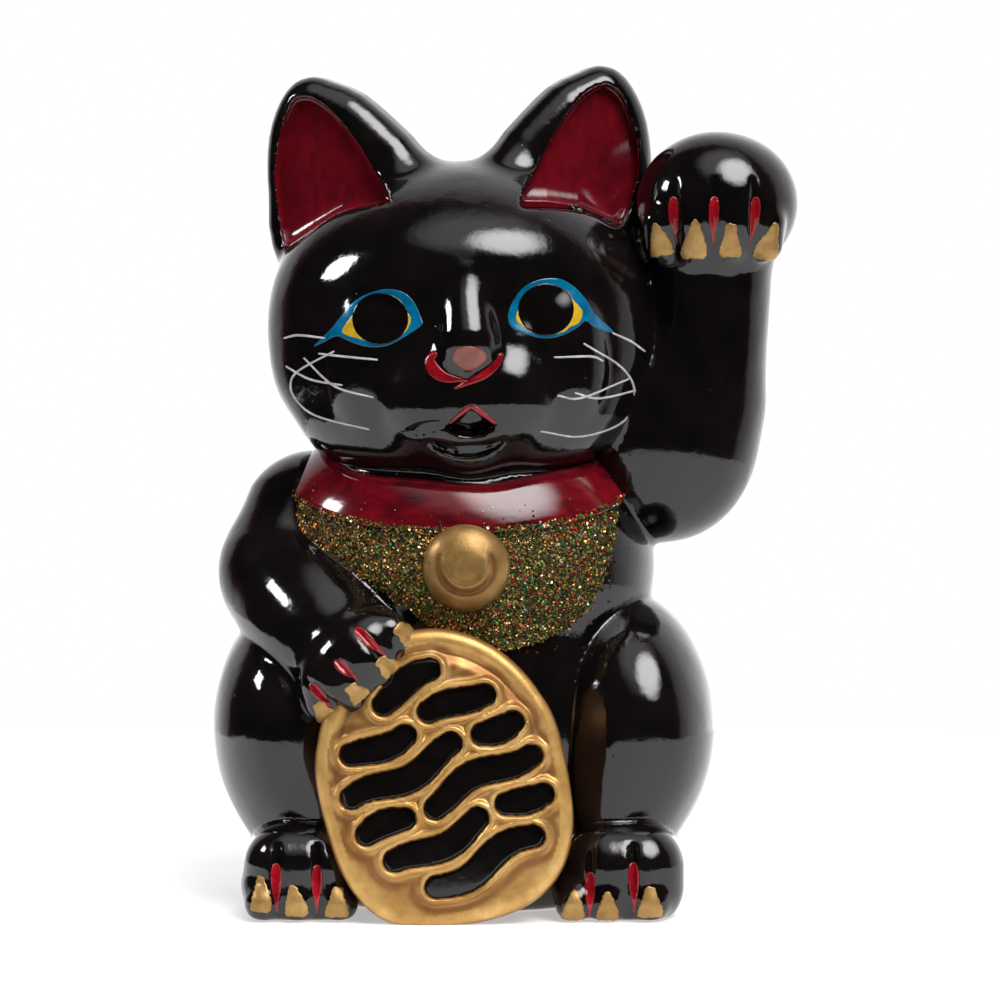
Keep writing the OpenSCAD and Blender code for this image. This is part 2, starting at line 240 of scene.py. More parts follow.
def head(p):
    h = to_head(p)
    mirrored = h.copy()
    mirrored[..., 0] = np.abs(h[..., 0])
    d = skull(h)
    brow = egg(h, (0, -17.5, 17.5), (27, 18.4, 12))
    d = soft_min(d, brow, 12)
    jaw = egg(h, (0, -8, -21), (42, 30, 20.5))
    d = soft_min(d, jaw, 8)
    socket = egg(mirrored, (EYE[0], -41.6, EYE[1] + 2), (12.5, 6.5, 9))
    d = soft_max(d, -socket, 5)
    d = soft_min(d, egg(mirrored, (EYE[0], -20.5, EYE[1] - 11), (16.5, 16.3, 27)), 0.9)
    chin = egg(h, (0, -20, -27), (13, 16, 12.5))
    d = soft_min(soft_min(d, chin, 5), egg(h, (0, -27, -19), (20, 11.5, 12)), 7)
    pads = egg(mirrored, (8.5, -32.6, -15.5), (13, 10.5, 12.5))
    d = soft_min(d, pads, 7)
    bridge = limb(h, (0.2, -32.8, 13), (0.5, -38.2, -1.5), 6.2, 7.8)
    wings = limb(mirrored, (2, -39, -6), (6, -38, -6), 4.6, 3.6)
    d = soft_min(d, soft_min(bridge, wings, 3), 3)
    for side in (RIGHT, LEFT):
        outer = plate(ear_edge(h, side), ear_local(h, side)[..., 1], -EAR_FRONT - EAR_ROUND, EAR_ROUND)
        d = soft_min(d, outer, 9)
        d = soft_max(d, -ear_cup(h, side), 0.9)
    return carve_mouth(d, h)


MOUTH_HOLLOW = [(0.6, -18.6), (-6.2, -23.4), (-3, -25.2), (0.3, -25.6), (3.8, -25.2), (6.8, -23.3)]


def carve_mouth(d, h):
    """Hollows pressed into the face: the open mouth, the line under the lip and a dimple."""
    opening = np.maximum(outline_field(in_front(h), MOUTH_HOLLOW), -d - 4)
    d = soft_max(d, -opening, 1.2)
    arc_x, arc_z = h[..., 0] + 0.6, h[..., 2] + 10.5
    radius, reach = 18.8, 0.5
    angle = np.clip(np.arctan2(arc_x, -arc_z), -reach, reach)
    gap = np.hypot(arc_x - radius * np.sin(angle), arc_z + radius * np.cos(angle))
    width = 1.6 - 1.2 * (np.abs(angle) / reach) ** 2
    d = soft_max(d, -np.maximum(gap - width, -d - 1.5), 1.4)
    across, up = h[..., 0] + 10.6, h[..., 2] + 23 - 0.2 * (h[..., 0] + 10.6)
    dimple = 1.4 * (np.hypot(across / 3.8, up / 1.4) - 1)
    return soft_max(d, -np.maximum(dimple, -d - 0.6), 1.6)


def trunk(p, grow=0.0):
    d = egg(p, (0, 6, 44), (50 + grow, 45 + grow, 56 + grow))
    d = soft_min(d, egg(p, (0, 5, 16), (50 + grow, 47 + grow, 27 + grow)), 12)
    return soft_min(d, chest(p, grow), 16)


def chest(p, grow=0.0):
    return egg(p, (-1, 3, 86), (50 + grow, 41 + grow, 40 + grow))


def haunch(p, side, grow=0.0):
    radii = (23.5 + grow, 40 + grow, 34 + grow)
    thigh = egg(p, (side * 40, -2, 45), radii, turn_about("z", side * 8))
    shank = egg(p, (side * 37, -8, 28), (17 + grow, 31 + grow, 30 + grow))
    return soft_min(thigh, shank, 8)


# Places x of each foot's toes and of the grooves between them
FOOT_TOES = {LEFT: [27.6, 35.5, 46.1], RIGHT: [-49.6, -41.3, -31.3]}
FOOT_GROOVES = {LEFT: [31.3, 41.9], RIGHT: [-46.7, -36.6]}


def foot(p, side):
    d = block(p, (side * 40.2, -19.5, 10.3), (14.8, 30, 13.4), 11)
    for x in FOOT_TOES[side]:
        d = soft_min(d, limb(p, (x, -38, 8), (x, -45.3, 4.5), 6, 5), 2.5)
    for x in FOOT_GROOVES[side]:
        groove = limb(p, (x, -51.4, 1), (x, -47.5, 19), 1.2, 0.9)
        d = soft_max(d, -groove, 1.6)
    return d


FOREARM_TURN = turn_about("z", 31) @ turn_about("x", 29)


def resting_arm(p):
    upper = limb(p, (-38, 3, 95), (-44.5, -5, 83.5), 19.4, 17.5)
    forearm = egg(p, (-38.5, -17.5, 75.5), (18.4, 37, 18.4), FOREARM_TURN)
    return soft_min(upper, forearm, 5)


PAW_TURN = turn_about("y", 43)  # toes spread along z and point along x of the turned frame
PAW_CENTRE = (-27.4, -42, 64.2)
PAW_RADII = (11, 11, 16.5)
PAW_TOES = [(12, 4.6), (2.8, 4.6), (-6.2, 4.6), (-13, 3.8)]  # place across the paw, radius
PAW_GROOVES = [7.2, -1.6, -10.6]


def paw_front(x, z):
    """Depth of the resting paw's plain egg at a place in its own frame."""
    return -PAW_RADII[1] * math.sqrt(max(0.05, 1 - (x / PAW_RADII[0]) ** 2 - (z / PAW_RADII[2]) ** 2))


def resting_paw(p):
    d = egg(p, PAW_CENTRE, PAW_RADII, PAW_TURN)
    q = (p - vec(*PAW_CENTRE)) @ PAW_TURN
    for z, r in PAW_TOES:
        front = paw_front(2, z) + r - 0.6
        d = soft_min(d, limb(q, (1, front, z), (6.2, front + 2.2, z), r, r - 0.6), 2.2)
    for z in PAW_GROOVES:
        run = [(x, paw_front(x, z) - rise, z) for x, rise in ((-7, 0.9), (-2, 0.5), (3, 0.9), (7, 1.4))]
        d = soft_max(d, -chain(q, run, [0.4, 1.0, 1.3, 1.3], 1), 1.2)
    return d


def raised_arm(p):
    d = egg(p, (52, 2, 120), (24, 22, 29))
    d = soft_min(d, limb(p, (36, 3, 100), (46, 2, 110), 14, 16), 8)
    return soft_min(d, limb(p, (60, 1, 130), (61.5, -1, 162), 17, 17.2), 8)


RAISED_TOES = [49.4, 57.9, 66.8, 76.2]  # places x of the raised paw's toes and grooves
RAISED_GROOVES = [52.9, 62.7, 72.9]
RAISED_PAW = (64.4, -5, 177.5)


def raised_paw(p):
    d = egg(p, RAISED_PAW, (20.5, 19.5, 18.5))
    for x in RAISED_TOES:
        lean = (x - RAISED_PAW[0]) / 20.5
        depth = -5 - 14.6 * math.sqrt(1 - 0.72 * lean * lean)
        d = soft_min(d, limb(p, (x, depth + 1, 173), (x, depth + 2.2, 167.5), 4.6, 4.2), 3)
    for x in RAISED_GROOVES:
        lean = (x - RAISED_PAW[0]) / 20.5
        front = -5 - 19.6 * math.sqrt(1 - lean * lean)
        groove = chain(p, [(x, front + 0.9, 184), (x, front - 0.4, 176), (x, front + 1.6, 166)],
                       [0.7, 1.2, 1.3], 1)
        d = soft_max(d, -groove, 1.4)
    return d


def tail(p):
    run = spline([(-14, 45.5, 11, 7.6), (0, 48.6, 10, 7.5), (11.5, 47.6, 12, 7), (18.5, 45, 19, 6.4),
                  (17, 44.6, 27, 5)], steps=2)
    return nearest(lambda p, ends: limb(p, ends[0][:3], ends[1][:3], ends[0][3], ends[1][3]), p,
                   list(zip(run, run[1:])))


def outer_body(p):
    """Everything that was cast in one piece, seen from outside."""
    d = trunk(p)
    for side in (LEFT, RIGHT):
        d = soft_min(d, haunch(p, side), 1.4)
    for side in (LEFT, RIGHT):
        d = soft_min(d, foot(p, side), 1.0)
    d = soft_min(d, tail(p), 1.6)
    d = soft_min(d, soft_min(resting_arm(p), resting_paw(p), 5), 2.4)
    d = soft_min(d, head(p), 1.6)
    return soft_min(d, soft_min(raised_arm(p), raised_paw(p), 6), 2.0)


WALL = 4.5  # thickness of the casting
SEAT_GAP = 0.4  # clearance round the base slab
SLOT_CENTRE = (-1, 98)  # x and z of the coin slot
SLOT_HALF_LENGTH, SLOT_HALF_HEIGHT = 19, 2.5


def coin_chamber(p):
    h = to_head(p)
    d = trunk(p, -WALL)
    for side in (LEFT, RIGHT):
        d = soft_min(d, haunch(p, side, -WALL), 4)
    inside_head = soft_min(egg(h, (0, 2, 2), (44, 36.5, 36)), egg(h, (0, 0, -8), (46, 33.5, 26.5)), 6)
    d = soft_min(d, inside_head, 4)
    shoulder = egg(p, (52, 2, 120), (19.5, 17.5, 24.5))
    d = soft_min(d, soft_min(shoulder, limb(p, (60, 1, 130), (63, -3, 172), 12.5, 13), 5), 4)
    return np.maximum(d, cad_box("base_slab")[1][2] - p[..., 2])


def coin_slot(p):
    x = np.abs(p[..., 0] - SLOT_CENTRE[0]) - (SLOT_HALF_LENGTH - SLOT_HALF_HEIGHT)
    outline = np.hypot(np.maximum(x, 0), p[..., 2] - SLOT_CENTRE[1]) - SLOT_HALF_HEIGHT
    return np.maximum(outline, 20 - p[..., 1])


def slab_seat(p):
    low, high = cad_box("base_slab")
    centre = (low + high) / 2
    radius = (high[0] - low[0]) / 2 + SEAT_GAP
    around = np.hypot(p[..., 0] - centre[0], p[..., 1] - centre[1]) - radius
    return np.maximum(around, p[..., 2] - high[2])


def casting(p):
    d = soft_max(outer_body(p), -p[..., 2], 2.6)
    d = soft_max(d, -coin_slot(p), 1.4)
    d = np.maximum(d, -coin_chamber(p))
    return soft_max(d, -slab_seat(p), 0.6)


# ---------------- meshes from fields

def gradient(field, p):
    """Unit outward normals of a field, from four samples close to each point."""
    reach = 0.05
    n = np.zeros_like(p)
    for signs in ((1, -1, -1), (-1, -1, 1), (-1, 1, -1), (1, 1, 1)):
        towards = vec(*signs)
        n += towards * field(p + towards * reach)[:, None]
    return n / np.maximum(np.linalg.norm(n, axis=1, keepdims=True), 1e-9)


def by_parts(field, p):
    """A field's values at many points, a part at a time to save memory."""
    size = 400000
    out = np.empty(len(p), f32)
    for i in range(0, len(p), size):
        out[i:i + size] = field(p[i:i + size])
    return out


def filled_grid(field, low, high, voxel):
    """Samples of a field on a grid, worked out in full only near its surface."""
    step = 6
    count = np.ceil((high - low) / voxel / step).astype(int)
    coarse = [low[k] + (np.arange(count[k]) + 0.5) * voxel * step for k in range(3)]
    centres = np.stack(np.meshgrid(*coarse, indexing="ij"), -1).reshape(-1, 3).astype(f32)
    rough = by_parts(field, centres)
    grid = np.repeat(np.repeat(np.repeat(np.sign(rough).reshape(count), step, 0), step, 1), step, 2)
    grid = (grid * 3 * voxel).astype(f32)
    near = np.abs(rough) < voxel * step * 1.35
    cells = np.stack(np.unravel_index(np.flatnonzero(near), tuple(count)), -1) * step
    offsets = np.stack(np.meshgrid(*[np.arange(step)] * 3, indexing="ij"), -1).reshape(-1, 3)
    index = (cells[:, None, :] + offsets[None]).reshape(-1, 3)
    points = (low + (index + 0.5) * voxel).astype(f32)
    grid[index[:, 0], index[:, 1], index[:, 2]] = by_parts(field, points)
    return grid


def skin_of(field, low, high, voxel):
    """Vertices and quads of a field's surface, with the vertices pulled onto it exactly."""
    low, high = np.array(low, float), np.array(high, float)
    grid = openvdb.FloatGrid(3 * voxel)
    grid.copyFromArray(filled_grid(field, low, high, voxel))
    points, quads = grid.convertToQuads(0.0)
    p = (low + (points + 0.5) * voxel).astype(f32)
    for _ in range(3):
        p -= np.clip(by_parts(field, p), -voxel, voxel)[:, None] * gradient(field, p)
    return p, quads


def new_mesh(name, points, faces, smooth=True):
    """A mesh object from points in figure millimetres."""
    mesh = bpy.data.meshes.new(name)
    mesh.vertices.add(len(points))
    mesh.vertices.foreach_set("co", (np.asarray(points, float) * MM).ravel())
    corners = np.concatenate(faces).astype(np.int32)
    sizes = np.array([len(face) for face in faces], np.int32)
    mesh.loops.add(len(corners))
    mesh.loops.foreach_set("vertex_index", corners)
    mesh.polygons.add(len(sizes))
    mesh.polygons.foreach_set("loop_start", (np.cumsum(sizes) - sizes).astype(np.int32))
    mesh.polygons.foreach_set("loop_total", sizes)
    mesh.polygons.foreach_set("use_smooth", np.full(len(sizes), smooth))
    mesh.update(calc_edges=True)
    mesh.validate()
    obj = bpy.data.objects.new(name, mesh)
    bpy.context.scene.collection.objects.link(obj)
    return obj


def stands_for(obj, node, slot, material):
    """A finished piece: its material, the body it rides on, and the CAD node it replaces."""
    obj.data.materials.append(material)
    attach(obj, CASTING)
    if node:
        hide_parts(node)
    return obj


def piece_of(field, low, high, voxel, name, node, slot, material):
    """A finished piece with a field's surface, and its vertices in figure millimetres."""
    points, quads = skin_of(field, low, high, voxel)
    return stands_for(new_mesh(name, points, quads), node, slot, material), points


# ---------------- outlines and painted coats

def stroke_field(q, run):
    """Signed distance from 2-D points q to a brush stroke: rows of x, z and half width."""
    d = np.full(q.shape[:-1], FAR, f32)
    for a, b in zip(run, run[1:]):
        e = b[:2] - a[:2]
        w = q - a[:2]
        h = np.clip((w @ e) / (e @ e + 1e-12), 0, 1)
        d = np.minimum(d, np.linalg.norm(w - h[..., None] * e, axis=-1) - (a[2] + (b[2] - a[2]) * h))
    return d


def front_of(form, x, z):
    """Points where lines of sight along +Y first meet a form, or far behind it where they miss."""
    before, behind = -90.0, 80
    p = np.stack([x, np.full_like(x, before), z], -1).astype(f32)
    for _ in range(90):
        p[:, 1] += 0.8 * np.clip(form(p), -3, 30)
        p[:, 1] = np.minimum(p[:, 1], behind)
    return p


def coat_on(form, mask, thickness, reach, voxel, edge=0.18, depth=0.7):
    """Skin of a coat on a form's front, inside a mask, in a box found by looking over its reach."""
    (x0, x1), (z0, z1) = reach
    looks = 14
    x, z = np.meshgrid(np.linspace(x0, x1, looks), np.linspace(z0, z1, looks))
    seen = front_of(form, x.ravel(), z.ravel())
    seen = seen[(mask(seen) < 2) & (form(seen) < 0.5)]
    back = seen[:, 1].max() + 1  # keeps the coat off the form's far side
    low = (x0, seen[:, 1].min() - thickness - 1, z0)
    high = (x1, back + 1, z1)

    def coat(p):
        surface = form(p)
        d = soft_max(surface - thickness, mask(p), edge)
        return np.maximum(d, np.maximum(-surface - depth, p[..., 1] - back))
    return skin_of(coat, low, high, voxel)


FINE = 0.25


def paint(name, form, mask, reach, slot, material, thickness, voxel=FINE, **more):
    """One painted piece, standing for the CAD node of the same name."""
    points, quads = coat_on(form, mask, thickness, reach, voxel, **more)
    return stands_for(new_mesh(name + "_paint", points, quads), name, slot, material)


# ---------------- materials

def srgb(*values):
    """Display values from 0 to 255 as the linear colour that a shader takes."""
    v = [x / 255 for x in values]
    return tuple(x / 12.92 if x <= 0.04045 else ((x + 0.055) / 1.055) ** 2.4 for x in v) + (1.0,)


class Nodes:
    """A node tree and short ways to add to it."""

    def __init__(self, tree):
        self.tree = tree

    def set(self, node, inputs):
        for key, value in inputs.items():
            socket = node.inputs[key.replace("_", " ")] if isinstance(key, str) else node.inputs[key]
            if isinstance(value, bpy.types.NodeSocket):
                self.tree.links.new(value, socket)
            else:
                socket.default_value = value

    def add(self, kind, inputs=None, **settings):
        node = self.tree.nodes.new("ShaderNode" + kind)
        for key, value in settings.items():
            setattr(node, key, value)
        self.set(node, inputs or {})
        return node

    def vector(self, operation, a, b):
        return self.add("VectorMath", {0: a, 1: b}, operation=operation)

    def ramp(self, value, *stops, constant=False):
        """Colours or greys along a value: each stop is (place, colour)."""
        node = self.add("ValToRGB", {"Fac": value})
        node.color_ramp.interpolation = "CONSTANT" if constant else "LINEAR"
        points = node.color_ramp.elements
        while len(points) < len(stops):
            points.new(0.5)
        for point, (place, colour) in zip(points, stops):
            point.position = place
            point.color = colour if isinstance(colour, tuple) else (colour, colour, colour, 1)
        return node.outputs["Color"]


class Shader(Nodes):
    """A material, and the patterns that several of them share."""

    def __init__(self, name, **inputs):
        self.material = bpy.data.materials.new(name)
        self.material.use_nodes = True
        super().__init__(self.material.node_tree)
        self.bsdf = self.tree.nodes["Principled BSDF"]
        self.set(self.bsdf, inputs)

    def place(self, stretch=(1, 1, 1)):
        """Place on the object, in millimetres."""
        spot = self.add("TexCoord").outputs["Object"]
        return self.vector("MULTIPLY", spot, [1 / MM * s for s in stretch]).outputs[0]

    def noise(self, size, detail, stretch=(1, 1, 1), rough=0.5):
        """Cloudy values from 0 to 1 whose features are about size millimetres wide."""
        inputs = {"Vector": self.place(stretch), "Scale": 1 / size, "Detail": detail, "Roughness": rough}
        return self.add("TexNoise", inputs).outputs["Fac"]

    def cells(self, size, output="Distance"):
        return self.add("TexVoronoi", {"Vector": self.place(), "Scale": 1 / size}).outputs[output]

    def math(self, operation, a, b, clamp=False):
        return self.add("Math", {0: a, 1: b}, operation=operation, use_clamp=clamp).outputs[0]

    def blend(self, share, a, b):
        """Colour a where share is 0 and b where it is 1."""
        return self.add("Mix", {0: share, 6: a, 7: b}, data_type="RGBA").outputs[2]

    def bump(self, height, millimetres, after=None):
        inputs = {"Height": height, "Distance": millimetres * MM, "Strength": 1.0}
        if after is not None:
            inputs["Normal"] = after
        return self.add("Bump", inputs).outputs["Normal"]

    def finish(self, **inputs):
        self.set(self.bsdf, inputs)
        return self.material


def black_glaze():
    """Thick glossy glaze: brownish black, with the fine unevenness that breaks up its reflections."""
    s = Shader("black_glaze", IOR=1.55)
    tint = s.ramp(s.noise(9, 4), (0.35, srgb(8, 7, 7)), (0.75, srgb(19, 14, 14)))
    pits = s.ramp(s.cells(5.5), (0.02, 0.0), (0.05, 1.0))
    peel = s.bump(s.noise(1.1, 4, rough=0.6), 0.016)
    peel = s.bump(s.noise(4.2, 2), 0.085, peel)
    peel = s.bump(s.noise(20, 1), 0.6, peel)
    return s.finish(Base_Color=tint, Roughness=s.ramp(s.noise(14, 3), (0.3, 0.05), (0.8, 0.11)),
                    Normal=s.bump(pits, 0.05, peel))


def matte(name, ior, colours, roughness, grain):
    """Plain matter: the size and detail of each cloudiness, then its two stops or its depth."""
    s = Shader(name, IOR=ior)
    colour = s.ramp(s.noise(*colours[:2]), *colours[2:])
    rough = s.ramp(s.noise(*roughness[:2]), *roughness[2:])
    return s.finish(Base_Color=colour, Roughness=rough, Normal=s.bump(s.noise(*grain[:2]), grain[2]))


def red_glaze(name, dark, bright, streak=(1, 1, 1)):
    """Brushed crimson glaze, thin and dark in places, with the streaks along the long way of streak."""
    s = Shader(name, IOR=1.5)
    brushed = s.noise(2.2, 4, streak, 0.6)
    cloud = s.noise(13, 3)
    both = s.math("ADD", s.math("MULTIPLY", brushed, 0.55), s.math("MULTIPLY", cloud, 0.55))
    colour = s.ramp(both, (0.38, dark), (0.7, bright))
    return s.finish(Base_Color=colour, Roughness=s.ramp(cloud, (0.2, 0.063), (0.8, 0.144)),
                    Normal=s.bump(s.noise(2.6, 2, streak), 0.03))


def gold_paint(name, worn_gold, gold, bright_gold):
    """Matte gold paint, browner along brushed patches, and browner still, as painted shade, where its
    vertex value 'hollow' is high.
    """
    s = Shader(name, Metallic=0.55, IOR=1.45)
    hollow = s.add("Attribute", attribute_name="hollow").outputs["Fac"]
    wear_and_shade = s.noise(7, 5, rough=0.65)
    colour = s.ramp(wear_and_shade, (0.25, worn_gold), (0.55, gold), (0.8, bright_gold))
    specks = s.ramp(s.cells(1.9), (0.05, 1.0), (0.12, 0.0))
    colour = s.blend(s.math("MULTIPLY", specks, 0.35), colour, srgb(110, 70, 34))
    # Painted shade: the gold turns brown where the vertex value 'hollow' is high.
    colour = s.blend(s.math("MULTIPLY", hollow, 0.8, clamp=True), colour, srgb(112, 62, 24))
    rough = s.ramp(s.noise(3, 5), (0.2, 0.30), (0.8, 0.5))
    grain = s.bump(s.noise(0.7, 4), 0.05)
    return s.finish(Base_Color=colour, Roughness=rough, Normal=s.bump(s.noise(6, 2), 0.12, grain))


def glitter_coat():
    """Lacquer full of flakes too small to model: each cell has its own colour, tilt and gloss."""
    s = Shader("glitter_coat", Metallic=0.6, IOR=1.5)
    cell = s.cells(0.42, "Color")
    chance = s.add("SeparateColor", {"Color": cell})
    colour = s.ramp(chance.outputs["Red"], (0, srgb(10, 16, 11)), (0.36, srgb(36, 34, 15)),
                    (0.54, srgb(14, 52, 27)), (0.68, srgb(92, 74, 32)), (0.84, srgb(96, 50, 24)),
                    (0.94, srgb(160, 140, 84)), constant=True)
    tilt = s.vector("SUBTRACT", cell, (0.5, 0.5, 0.5)).outputs[0]
    normal = s.add("NewGeometry").outputs["Normal"]
    lean = s.add("VectorMath", {0: tilt, "Scale": 0.9}, operation="SCALE").outputs[0]
    leaning = s.vector("ADD", normal, lean).outputs[0]
    normal = s.add("VectorMath", {0: leaning}, operation="NORMALIZE").outputs[0]
    return s.finish(Base_Color=colour, Normal=normal,
                    Roughness=s.ramp(chance.outputs["Green"], (0, 0.22), (1, 0.5)))


def glitter_flakes():
    """Loose metallic flakes: golden on the cat's right, greener on its left, coppery by chance."""
    s = Shader("glitter_flakes", Metallic=0.9, IOR=1.5)
    chance = s.add("NewGeometry").outputs["Random Per Island"]
    across = s.add("SeparateXYZ", {"Vector": s.place()}).outputs["X"]
    greener = s.add("Math", {0: across, 1: 0.005, 2: 0.02}, operation="MULTIPLY_ADD").outputs[0]
    value = s.math("ADD", chance, greener, clamp=True)
    colour = s.ramp(value, (0, srgb(140, 70, 34)), (0.16, srgb(160, 130, 70)), (0.34, srgb(112, 96, 42)),
                    (0.56, srgb(205, 196, 170)), (0.6, srgb(70, 82, 34)), (0.76, srgb(18, 84, 42)),
                    (0.98, srgb(140, 30, 26)), constant=True)
    return s.finish(Base_Color=colour, Roughness=s.ramp(s.noise(0.6, 1), (0, 0.28), (1, 0.5)))


def enamel(name, thin, thick, gloss=0.1):
    """Opaque brushed colour, a little paler or darker where it lies thin; a low gloss value is shiny."""
    s = Shader(name, IOR=1.5)
    colour = s.ramp(s.noise(3, 4, rough=0.6), (0.3, thin), (0.68, thick))
    rough = s.ramp(s.noise(5, 3), (0.2, gloss), (0.8, gloss * 1.8))
    return s.finish(Base_Color=colour, Roughness=rough, Normal=s.bump(s.noise(1.6, 2), 0.008))


GLAZE = black_glaze()
CLAY = matte("bare_clay", 1.45, (3, 6, (0.3, srgb(176, 150, 126)), (0.7, srgb(205, 186, 164))),
             (2, 4, (0, 0.78), (1, 0.95)), (0.8, 5, 0.12))
RUBBER = matte("stopper_rubber", 1.5, (6, 4, (0.3, srgb(34, 34, 36)), (0.8, srgb(56, 55, 54))),
               (3, 4, (0, 0.5), (1, 0.72)), (0.5, 3, 0.04))
COLLAR_RED = red_glaze("collar_red", srgb(48, 5, 11), srgb(112, 12, 24), (0.25, 1, 1))
LINING_RED = red_glaze("lining_red", srgb(78, 10, 20), srgb(112, 14, 26), (1, 1, 0.5))
MARK_RED = red_glaze("mark_red", srgb(96, 8, 18), srgb(158, 20, 30))
GOLD = gold_paint("gold_paint", srgb(168, 124, 62), srgb(200, 158, 92), srgb(222, 188, 128))
BELL_GOLD = gold_paint("bell_gold", srgb(118, 86, 46), srgb(146, 112, 62), srgb(176, 142, 88))
CLAW_GOLD = gold_paint("claw_gold", srgb(138, 102, 54), srgb(178, 142, 84), srgb(208, 174, 114))
GLITTER = glitter_coat()
FLAKES = glitter_flakes()
BLUE = enamel("eye_blue", srgb(0, 74, 108), srgb(3, 108, 146))
YELLOW = enamel("eye_yellow", srgb(176, 134, 20), srgb(208, 172, 44))
EYE_BLACK = enamel("eye_black", srgb(7, 5, 5), srgb(14, 11, 11), 0.04)
PINK = enamel("nose_pink", srgb(122, 56, 50), srgb(148, 80, 70))
WHITE = enamel("whisker_white", srgb(150, 148, 148), srgb(204, 202, 200), 0.3)
INK = enamel("mark_black", srgb(7, 6, 6), srgb(15, 12, 11), 0.06)


def vertex_value(obj, name, values):
    attribute = obj.data.attributes.new(name, "FLOAT", "POINT")
    attribute.data.foreach_set("value", np.asarray(values, f32))


# ---------------- casting

GLAZE_DEPTH = 1.6  # below this depth under the outer skin the clay is bare
INNER_DEPTH = 3.4  # below this depth only the coin chamber is left
KEPT_SHARE = 0.62  # share of the casting's faces left after thinning


def make_casting():
    low, high = (-70, -62, -3), (92, 66, 215)
    points, quads = skin_of(casting, low, high, 0.85)
    shell = new_mesh("casting_shell", points, quads)
    stands_for(shell, "body_shell", "black_glaze", GLAZE)
    shell.data.materials.append(CLAY)
    centre = points[quads].mean(1).astype(f32)
    bare = (by_parts(outer_body, centre) < -GLAZE_DEPTH) | (centre[:, 2] < 0.5)
    shell.data.polygons.foreach_set("material_index", bare.astype(np.int32))
    deep = by_parts(outer_body, points) < -INNER_DEPTH
    group = shell.vertex_groups.new(name="inside")
    group.add(np.flatnonzero(deep).tolist(), 1.0, "REPLACE")
    thin_out(shell, group.name)


def thin_out(obj, group):
    """Fewer faces where the group is, which no view shows closely."""
    bpy.context.view_layer.objects.active = obj
    thinner = obj.modifiers.new("thin_out", "DECIMATE")
    thinner.ratio = KEPT_SHARE
    thinner.vertex_group = group
    thinner.vertex_group_factor = 10
    bpy.ops.object.modifier_apply(modifier=thinner.name)


make_casting()
for node, material in (("base_slab", CLAY), ("stopper", RUBBER)):
    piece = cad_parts[node]
    piece.data.materials.clear()
    piece.data.materials.append(material)


# ---------------- face

def on_head(p):
    """Face coordinates x, z of points, in the head's own frame."""
    return in_front(to_head(p))


def reach_of(points, margin=1.5):
    """Limits in x and z of points x, z, with a margin round them."""
    x, z = [p[0] for p in points], [p[1] for p in points]
    return (min(x) - margin, max(x) + margin), (min(z) - margin, max(z) + margin)


def head_reach(points, margin=1.5):
    """World limits in x and z of an outline given on the head."""
    q = np.array([[x, 0, z] for x, z in points], f32)
    return reach_of(in_front(from_head(q)), margin)


# Each eye about its own centre, both written with x growing outwards
EYES = {
    "right": {
        "centre": (-21.1, 4.3),
        "lids": [(17.1, -6.6), (12.6, -2.4), (10, 0.7), (7.3, 3.7), (3.7, 6), (-1.5, 7.3), (-6, 6.4),
                 (-8.7, 3.7), (-10.3, -0.4), (-10.4, -1.8), (-7.3, -3.9), (-3, -6.2), (0.2, -7),
                 (4.2, -6.7), (7.6, -5.5), (11, -4.1), (14.5, -5.7)],
        "opening": [(9.5, -2.2), (6.8, 1.4), (3.8, 5.3), (0.3, 6.2), (-3.1, 5.4), (-5.3, 3.5), (-7.2, 0.9),
                    (-7.6, -0.8), (-6.5, -3.1), (-3.8, -5.1), (0.2, -6.2), (5.3, -4.9), (9.1, -3.6)],
        "pupil": (7.05, 6.4)},
    "left": {
        "centre": (20.2, 5.0),
        "lids": [(16.7, -6.3), (12.3, -1.7), (10.3, 1.8), (7.3, 5.3), (3.6, 7.5), (-1, 7.6), (-5.2, 5.9),
                 (-7.9, 2.9), (-9.4, -0.2), (-9.5, -2.3), (-8.7, -4.1), (-5.6, -5.7), (-2.2, -6.9),
                 (1.3, -7.1), (4.8, -6.2), (8, -4.6), (9.8, -3.3), (11.8, -4.9), (14.9, -6.4)],
        "opening": [(-7.6, -2), (-6.6, 1.4), (-4.9, 4.2), (-2.4, 6), (0.7, 6.5), (3.8, 5.1), (6.2, 2.9),
                    (8.5, 0.2), (9.2, -1.2), (8.1, -3.7), (5.9, -4.6), (4.1, -5.8), (0.6, -6.3),
                    (-3.5, -5.7), (-5.9, -4)],
        "pupil": (7.0, 6.45)}}


def turns(count):
    """Angles that divide a full turn."""
    return np.arange(count) * 2 * math.pi / count


def oval(half_w, half_h):
    return [(half_w * math.cos(a), half_h * math.sin(a)) for a in turns(32)]


def eye_mask(outline, centre, side):
    run = spline(outline, closed=True, steps=4)
    return lambda p: outline_field((on_head(p) - vec(*centre)) * vec(side, 1), run)


def make_eyes():
    for side, end in ((LEFT, "left"), (RIGHT, "right")):
        eye = EYES[end]
        cx, cz = eye["centre"]
        reach = head_reach([(cx + side * x, cz + z) for x, z in eye["lids"]])
        for part, outline, thickness, slot, material in (
                ("eye_outline", eye["lids"], 0.10, "eye_blue", BLUE),
                ("iris", eye["opening"], 0.17, "eye_yellow", YELLOW),
                ("pupil", oval(*eye["pupil"]), 0.24, "eye_black", EYE_BLACK)):
            mask = eye_mask(outline, eye["centre"], side)
            paint(f"{part}_{end}", head, mask, reach, slot, material, thickness)


